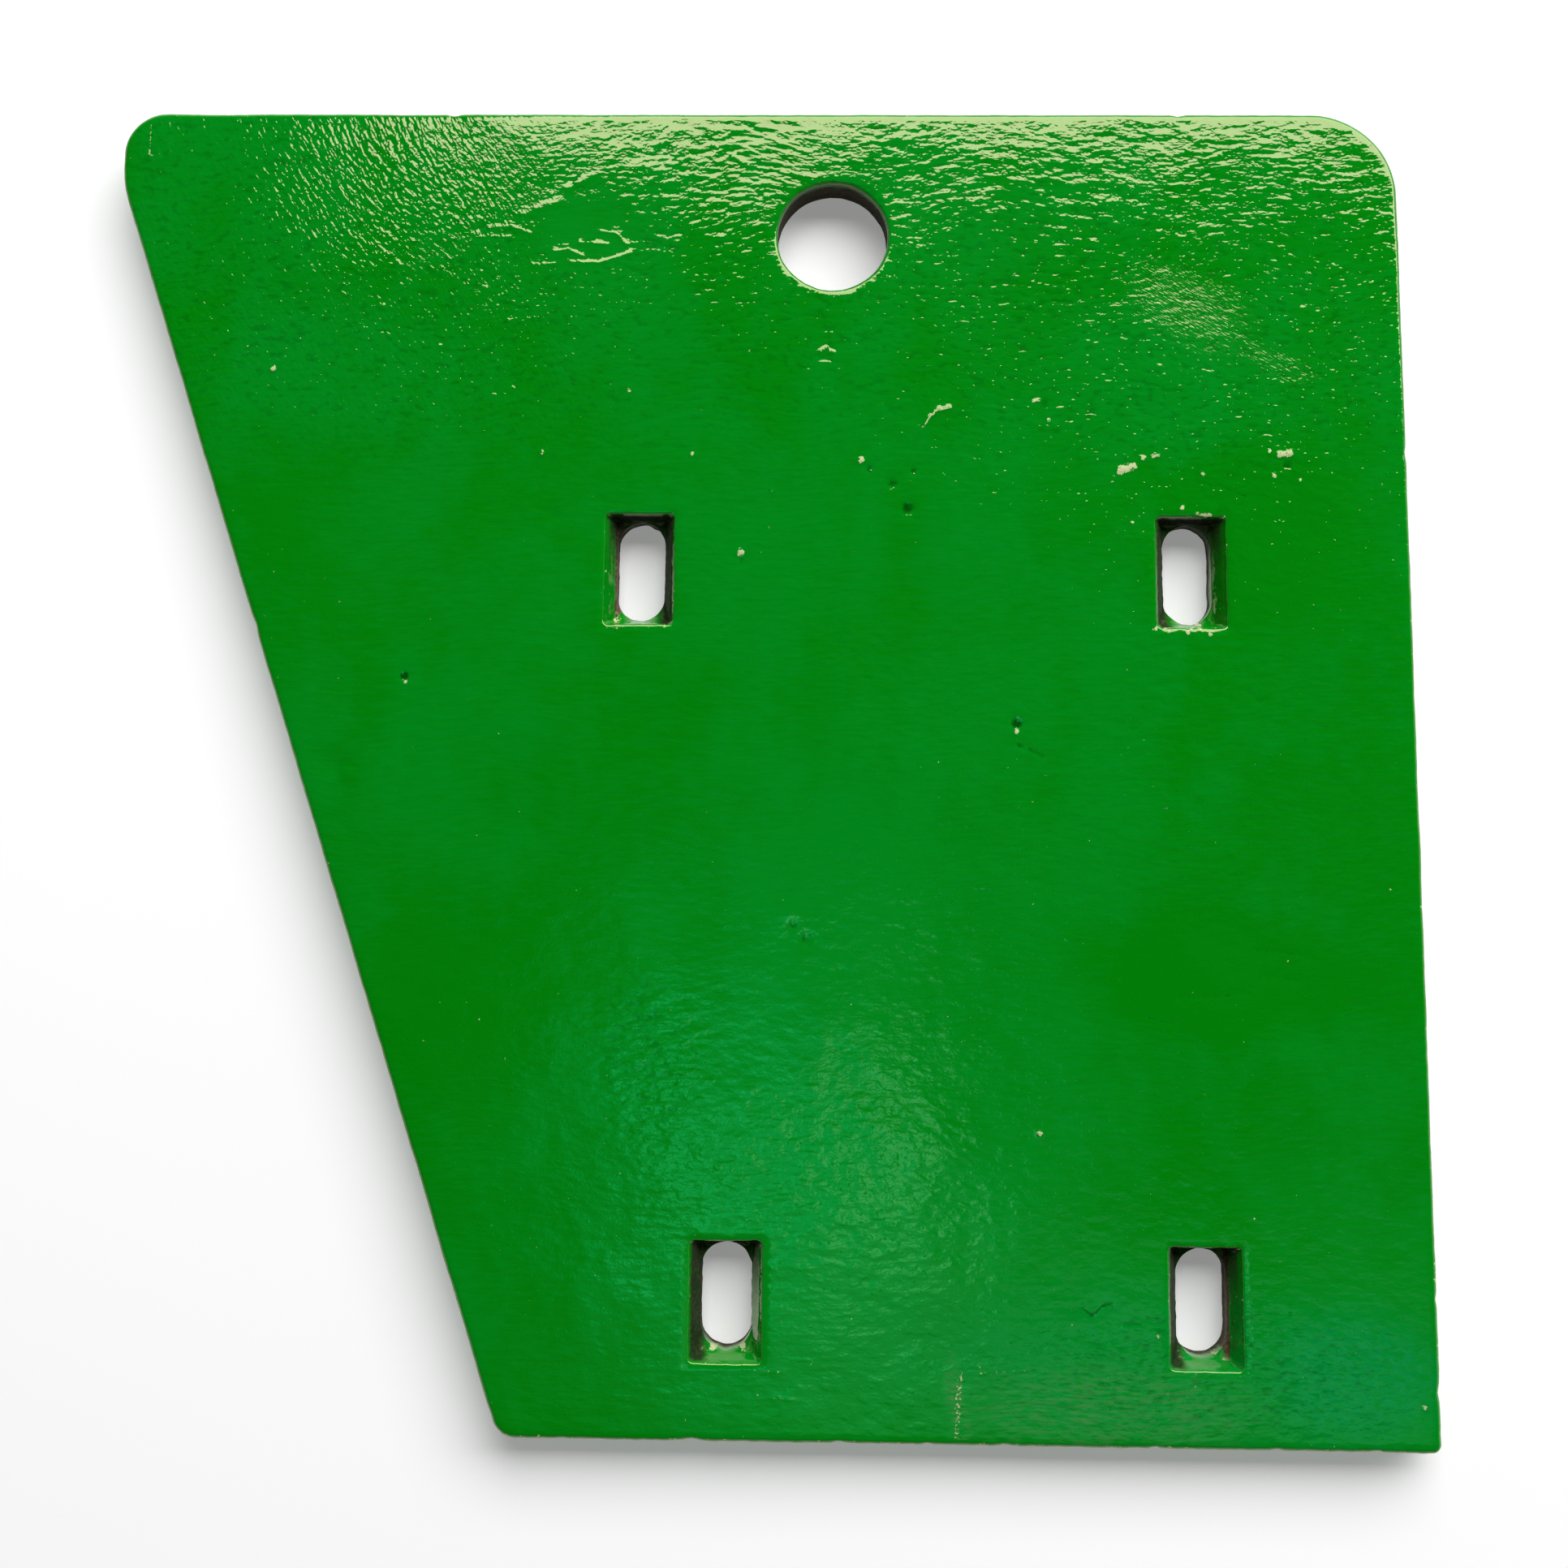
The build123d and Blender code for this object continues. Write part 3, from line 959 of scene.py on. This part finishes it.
# The enamel: colours are linear, sizes in mm
enamel = {
    "deep": (0.0006, 0.240, 0.0028, 1),
    "light": (0.0008, 0.274, 0.0135, 1),
    # a painted reflection of the sky
    "teal": (0.0012, 0.285, 0.052, 1),
    # olive dust that also paints a reflection of the ground
    "dust": (0.060, 0.275, 0.065, 1),
    # pale flakes where the paint is off, also the colour of the painted glints
    "paleFlakeAndPaintedGlint": (0.50, 0.58, 0.30, 1),
    # dark green that paints shade in pits, along folds and between the ridges
    "spot": (0.0005, 0.085, 0.002, 1),
    "rust": (0.045, 0.020, 0.010, 1),
    "bareSteel": (0.24, 0.16, 0.09, 1),
    # near-black and brown: the unpainted skin in the shafts, and painted shade on the shaded walls
    "skin": (0.007, 0.013, 0.006, 1),
    "skinPale": (0.060, 0.038, 0.020, 1),
    "specularTint": (1.0, 0.90, 0.56, 1),
    "warp": 12.0,
    "coarseSize": (13.0, 6.0, 6.0),
    "coarseHeight": 0.19,
    "fineSize": (5.6, 3.0, 3.0),
    "fineHeight": 0.155,
    "slantSize": (4.6, 2.4, 2.4),
    "slantHeight": 0.23,
    "slantTurn": 1.0,
    "crinkleSize": (2.2, 1.7, 1.7),
    "crinkleHeight": 0.050,
    "lumpSize": (7.5, 4.5, 4.5),
    "lumpHeight": 0.075,
    "nibSize": 2.0,
    "nibHeight": 0.10,
    "dentSize": (10.0, 6.5, 7.0),
    "dentHeight": 0.34,
    "hazeSize": (4.0, 0.9, 0.9),
    "hazeHeight": 0.10,
    "hazeTurn": 0.50,
    "hairSize": (22.0, 0.8, 0.8),
    "hairHeight": 0.003,
    "bareHeight": 0.5,
    # strength of the painted shade between the ridges
    "paintedValleyShadeAmount": 0.34,
    "gloss": 0.04,
}


def enamelHeight(place, warped, fine, rough, bareMask):
    e = enamel
    stir = place.attribute("stir")
    slant = place.attribute("slant")
    coarse = warped.noise(e["coarseSize"], 1.0, 0.45)
    across = coarse * e["coarseHeight"] + fine * e["fineHeight"]
    turned = place.node("VectorRotate", {"rotation_type": "Z_AXIS"}, {"Vector": warped, "Angle": e["slantTurn"]})
    slanted = turned.noise(e["slantSize"], 1.0, 0.45) * e["slantHeight"]
    crinkle = place.math("ABSOLUTE", warped.noise(e["crinkleSize"], 0.0) - 0.5)
    ridges = across + (slanted - across) * slant
    height = ridges * stir + crinkle * (e["crinkleHeight"] * (0.55 + 0.2 * stir))
    haired = place.node("VectorRotate", {"rotation_type": "Z_AXIS"}, {"Vector": place, "Angle": e["hazeTurn"]})
    height = height + haired.noise(e["hazeSize"], 1.0) * place.attribute("haze") * e["hazeHeight"]
    height = height + place.noise(e["hairSize"], 0.0) * e["hairHeight"]
    lumps = warped.noise(e["lumpSize"], 1.0).step(0.56, 0.80) * e["lumpHeight"]
    nibs = place.noise(e["nibSize"], 0.0).step(0.72, 0.92) * e["nibHeight"]
    height = height + (lumps + nibs) * place.attribute("lumps")
    height = height + warped.noise(e["dentSize"], 1.0) * place.attribute("dents") * e["dentHeight"]
    return height + rough * bareMask * e["bareHeight"]


def enamelMaterial():
    material, start = newMaterial("greenEnamel")
    e = enamel
    place = start.node("TexCoord", {}, {}, "Object").scaled(1000)
    drift = place.noise(70, 0.0, output="Color").scaled(e["warp"])
    warped = place.vector("ADD", drift)
    bareMask = start.attribute("bare")
    dark = start.attribute("dark")
    chips = start.attribute("chips")
    rough = place.noise(1.8, 4.0, 0.7)
    speck = place.noise(4.0, 3.0, 0.65)
    fine = warped.noise(e["fineSize"], 1.0, 0.45)

    # colour: thicker and thinner paint, fine streaks all over, and in the patches a painted
    # blue-green reflection of the sky and dust streaks that also paint a reflection of the ground
    bands = warped.noise((60, 95, 60), 3.0, 0.6).step(0.36, 0.64)
    streaks = warped.noise((12, 1.6, 5), 2.0, 0.6)
    tone = bands * 0.65 + 0.10 + start.attribute("tone") + (streaks - 0.5) * 1.6
    colour = tone.mixColour(e["deep"], e["light"])
    crinkled = place.noise((5.5, 1.6, 4), 3.0, 0.7)
    # painted reflection of the sky in the blue-green patches
    teal = start.attribute("teal") * (0.35 + 0.65 * crinkled.step(0.40, 0.62))
    colour = teal.mixColour(colour, e["teal"])
    # dust streaks that also paint a reflection of the ground
    dust = start.attribute("dust") * (streaks * 0.6 + crinkled * 0.4).step(0.44, 0.60)
    colour = dust.mixColour(colour, e["dust"])

    # painted shade: darker green in the valleys between the ridges where the paint is stirred
    paintedValleyShade = (0.50 - fine).step(0.0, 0.25) * start.attribute("stir").step(0.55, 1.15) * e["paintedValleyShadeAmount"]
    colour = paintedValleyShade.mixColour(colour, e["spot"])

    # marks and wear: painted shade in pits and folds, and pale flecks that are partly chips and
    # partly painted glints
    # painted shade in pits and along folds
    spots = (start.attribute("spots") + (speck - 0.5) * 0.8).step(0.25, 0.75)
    colour = spots.mixColour(colour, e["spot"])
    rimGap = start.attribute("rimGap")
    flaking = speck + (1 - rimGap.step(0.0, 3.0)) * 0.10 + chips * 0.17
    edgeWear = flaking.step(0.73, 0.77)
    fleck = place.noise(1.3, 2.0, 0.7)
    # pale flecks: chips, and painted glints on nibs, dent rims and pocket ledges
    flakesAndPaintedGlints = (start.attribute("pale") * (0.3 + 1.3 * speck) + (fleck - 0.5) * 1.2).step(0.48, 0.60)
    pale = start.math("MAXIMUM", edgeWear, flakesAndPaintedGlints)
    colour = pale.mixColour(colour, e["paleFlakeAndPaintedGlint"])
    bare = (bareMask + (speck - 0.5) * 1.2).step(0.45, 0.6)
    steel = rough.step(0.45, 0.72).mixColour(e["rust"], e["bareSteel"])
    colour = bare.mixColour(colour, steel)

    roughness = e["gloss"] + pale * 0.5 + bare * 0.6 + dust * 0.4 + start.attribute("haze") * 0.06
    normal = start.node("Bump", {}, {"Strength": 1.0, "Distance": 0.001,
                                     "Height": enamelHeight(place, warped, fine, rough, bareMask)})
    surface = start.node("BsdfPrincipled", {}, {
        "Base Color": colour,
        "Roughness": roughness,
        "Normal": normal,
        "Specular IOR Level": 1.0,
        "Specular Tint": e["specularTint"],
    })
    # the skin colour also paints the shade of the walls turned from the lamp
    skin = rough.step(0.40, 0.75).mixColour(e["skin"], e["skinPale"])
    skinAndPaintedShadeSurface = start.node("BsdfPrincipled", {}, {
        "Base Color": skin,
        "Roughness": 0.9,
        "Normal": normal,
        "Specular IOR Level": 0.15,
    })
    # where the mask is set, this mix paints shade with the near-black skin in place of the enamel
    start.node("OutputMaterial", {}, {"Surface": dark.mixShader(surface, skinAndPaintedShadeSurface)})
    return material


# The hidden face has one thin coat over the casting's skin
backCoat = {
    "deep": (0.002, 0.16, 0.008, 1),
    "thin": (0.020, 0.13, 0.022, 1),
    "rust": (0.11, 0.045, 0.02, 1),
    "skinHeight": 0.35,
}


def backMaterial():
    material, start = newMaterial("greenBackCoat")
    place = start.node("TexCoord", {}, {}, "Object").scaled(1000)
    skin = place.noise(3.5, 5.0, 0.65)
    patchy = place.noise(60, 4.0, 0.6)
    colour = patchy.step(0.4, 0.62).mixColour(backCoat["deep"], backCoat["thin"])
    rustSpots = (skin * 0.6 + patchy * 0.5).step(0.66, 0.72)
    colour = rustSpots.mixColour(colour, backCoat["rust"])
    normal = start.node("Bump", {}, {"Strength": 1.0, "Distance": 0.001,
                                     "Height": skin * backCoat["skinHeight"]}, "Normal")
    surface = start.node("BsdfPrincipled", {}, {
        "Base Color": colour,
        "Roughness": 0.32 + patchy * 0.2 + rustSpots * 0.3,
        "Normal": normal,
    })
    start.node("OutputMaterial", {}, {"Surface": surface})
    return material


mesh.materials.append(enamelMaterial())
mesh.materials.append(backMaterial())
print("materials:", len(mesh.materials))


# Is the ray one that shows the background: from the camera, mirrored or let through
def showsBackground(start):
    rays = [start.node("LightPath", {}, {}, name)
            for name in ("Is Camera Ray", "Is Glossy Ray", "Is Transmission Ray")]
    return start.math("MAXIMUM", start.math("MAXIMUM", rays[0], rays[1]), rays[2])


# Floor: pale, and a little brighter where it is seen, so that it reads as white
floor = {"size": 40.0, "gapBelow": 0.0004, "colour": (0.88, 0.88, 0.88, 1), "lift": 0.26,
         "whiteFrom": 1.2, "whiteTo": 3.0}


def addFloor():
    half = floor["size"] / 2
    floorMesh = bpy.data.meshes.new("floor")
    z = cadBox[0][2] - floor["gapBelow"]
    floorMesh.from_pydata([(-half, -half, z), (half, -half, z), (half, half, z), (-half, half, z)],
                          [], [(0, 1, 2, 3)])
    ground = bpy.data.objects.new("floor", floorMesh)
    bpy.context.collection.objects.link(ground)
    material, start = newMaterial("paleFloor")
    matt = start.node("BsdfDiffuse", {}, {"Color": floor["colour"]})
    glow = start.node("Emission", {}, {"Color": (1, 1, 1, 1), "Strength": floor["lift"]})
    near = start.node("AddShader", {}, {0: matt, 1: glow})
    far = start.node("Emission", {}, {"Color": (1, 1, 1, 1), "Strength": 1.0})
    place = start.node("TexCoord", {}, {}, "Object")
    away = start.node("VectorMath", {"operation": "LENGTH"}, {0: place}, "Value")
    seen = away.step(floor["whiteFrom"], floor["whiteTo"]).mixShader(near, far)
    start.node("OutputMaterial", {}, {"Surface": showsBackground(start).mixShader(matt, seen)})
    floorMesh.materials.append(material)


addFloor()

# The lamp: one large soft panel beyond the wide edge, whose near side limits the glare
keyPanel = {"low": (-1.20, 2.00), "high": (8.0, 9.0), "height": 4.0, "radiance": 6.1}


def addPanel():
    width = keyPanel["high"][0] - keyPanel["low"][0]
    depth = keyPanel["high"][1] - keyPanel["low"][1]
    lamp = bpy.data.lights.new("keyPanel", "AREA")
    lamp.shape = "RECTANGLE"
    lamp.size = width
    lamp.size_y = depth
    lamp.energy = keyPanel["radiance"] * math.pi * width * depth
    panel = bpy.data.objects.new("keyPanel", lamp)
    panel.location = ((keyPanel["low"][0] + keyPanel["high"][0]) / 2,
                      (keyPanel["low"][1] + keyPanel["high"][1]) / 2, keyPanel["height"])
    panel.visible_camera = False
    bpy.context.collection.objects.link(panel)


addPanel()

# World: white to the camera, pale round the horizon and dim overhead, where the paint
# also mirrors some glows, given by their place on a plane above the plate and their size
sky = {
    "pale": (0.5, 0.5, 0.5, 1),
    "dim": (0.004, 0.004, 0.004, 1),
    "from": 0.25,
    "to": 0.55,
    "glows": [
        {"at": (-0.007, -0.208), "size": (0.090, 0.085), "colour": (0.020, 0.95, 0.64)},
        {"at": (0.037, -0.197), "size": (0.023, 0.055), "colour": (0.420, 1.00, 0.80)},
        {"at": (-0.062, -0.204), "size": (0.023, 0.040), "colour": (0.060, 1.00, 0.66)},
        {"at": (-0.096, -0.142), "size": (0.045, 0.085), "colour": (0.012, 0.42, 0.26)},
        {"at": (0.190, -0.335), "size": (0.220, 0.080), "colour": (0.080, 0.55, 0.42)},
    ],
    "canopy": (0.012, 0.060, 0.036),
    "canopySize": 0.07,
}


def addWorld():
    world = bpy.data.worlds.new("studio")
    world.use_nodes = True
    world.node_tree.nodes.clear()
    start = Field(world.node_tree)
    direction = start.node("TexCoord", {}, {}, "Generated")
    rise = direction.axis("Z")
    u = direction.axis("X") / start.math("MAXIMUM", rise, 0.05)
    v = direction.axis("Y") / start.math("MAXIMUM", rise, 0.05)
    leaves = direction.noise(sky["canopySize"], 2.0, 0.6).step(0.45, 0.75)
    glow = leaves.node("CombineXYZ", {}, dict(zip("XYZ", sky["canopy"]))).scaled(leaves)
    for spot in sky["glows"]:
        du = (u - spot["at"][0]) / spot["size"][0]
        dv = (v - spot["at"][1]) / spot["size"][1]
        bell = start.math("EXPONENT", 0 - (du * du + dv * dv))
        lit = start.node("CombineXYZ", {}, dict(zip("XYZ", spot["colour"]))).scaled(bell)
        glow = glow.vector("ADD", lit)
    mirrored = start.node("LightPath", {}, {}, "Is Glossy Ray") * rise.step(0.3, 0.5)
    colour = rise.step(sky["from"], sky["to"]).mixColour(sky["pale"], sky["dim"])
    colour = colour.vector("ADD", glow.scaled(mirrored))
    eye = start.node("LightPath", {}, {}, "Is Camera Ray")
    colour = eye.mixColour(colour, (1, 1, 1, 1))
    light = start.node("Background", {}, {"Color": colour, "Strength": 1.0})
    start.node("OutputWorld", {}, {"Surface": light})
    bpy.context.scene.world = world


addWorld()

# Camera: above the plate and a little tilted, as the photograph was taken
camera = {
    "location": (0.0364, -0.0307, 0.9034),
    "rotation": (7.075, 1.142, 0.532),
    "lens": 39.13,
    "sensor": 36.0,
    "shiftY": -0.12,
    "nearest": 0.01,
}


def addCamera():
    view = bpy.data.cameras.new("photoCamera")
    view.lens = camera["lens"]
    view.sensor_width = camera["sensor"]
    view.sensor_fit = "HORIZONTAL"
    view.shift_y = camera["shiftY"]
    view.clip_start = camera["nearest"]
    viewer = bpy.data.objects.new("photoCamera", view)
    viewer.location = camera["location"]
    viewer.rotation_euler = [math.radians(a) for a in camera["rotation"]]
    bpy.context.collection.objects.link(viewer)
    bpy.context.scene.camera = viewer


addCamera()
bpy.context.scene.view_settings.view_transform = "Standard"
print("stage and camera are in place")
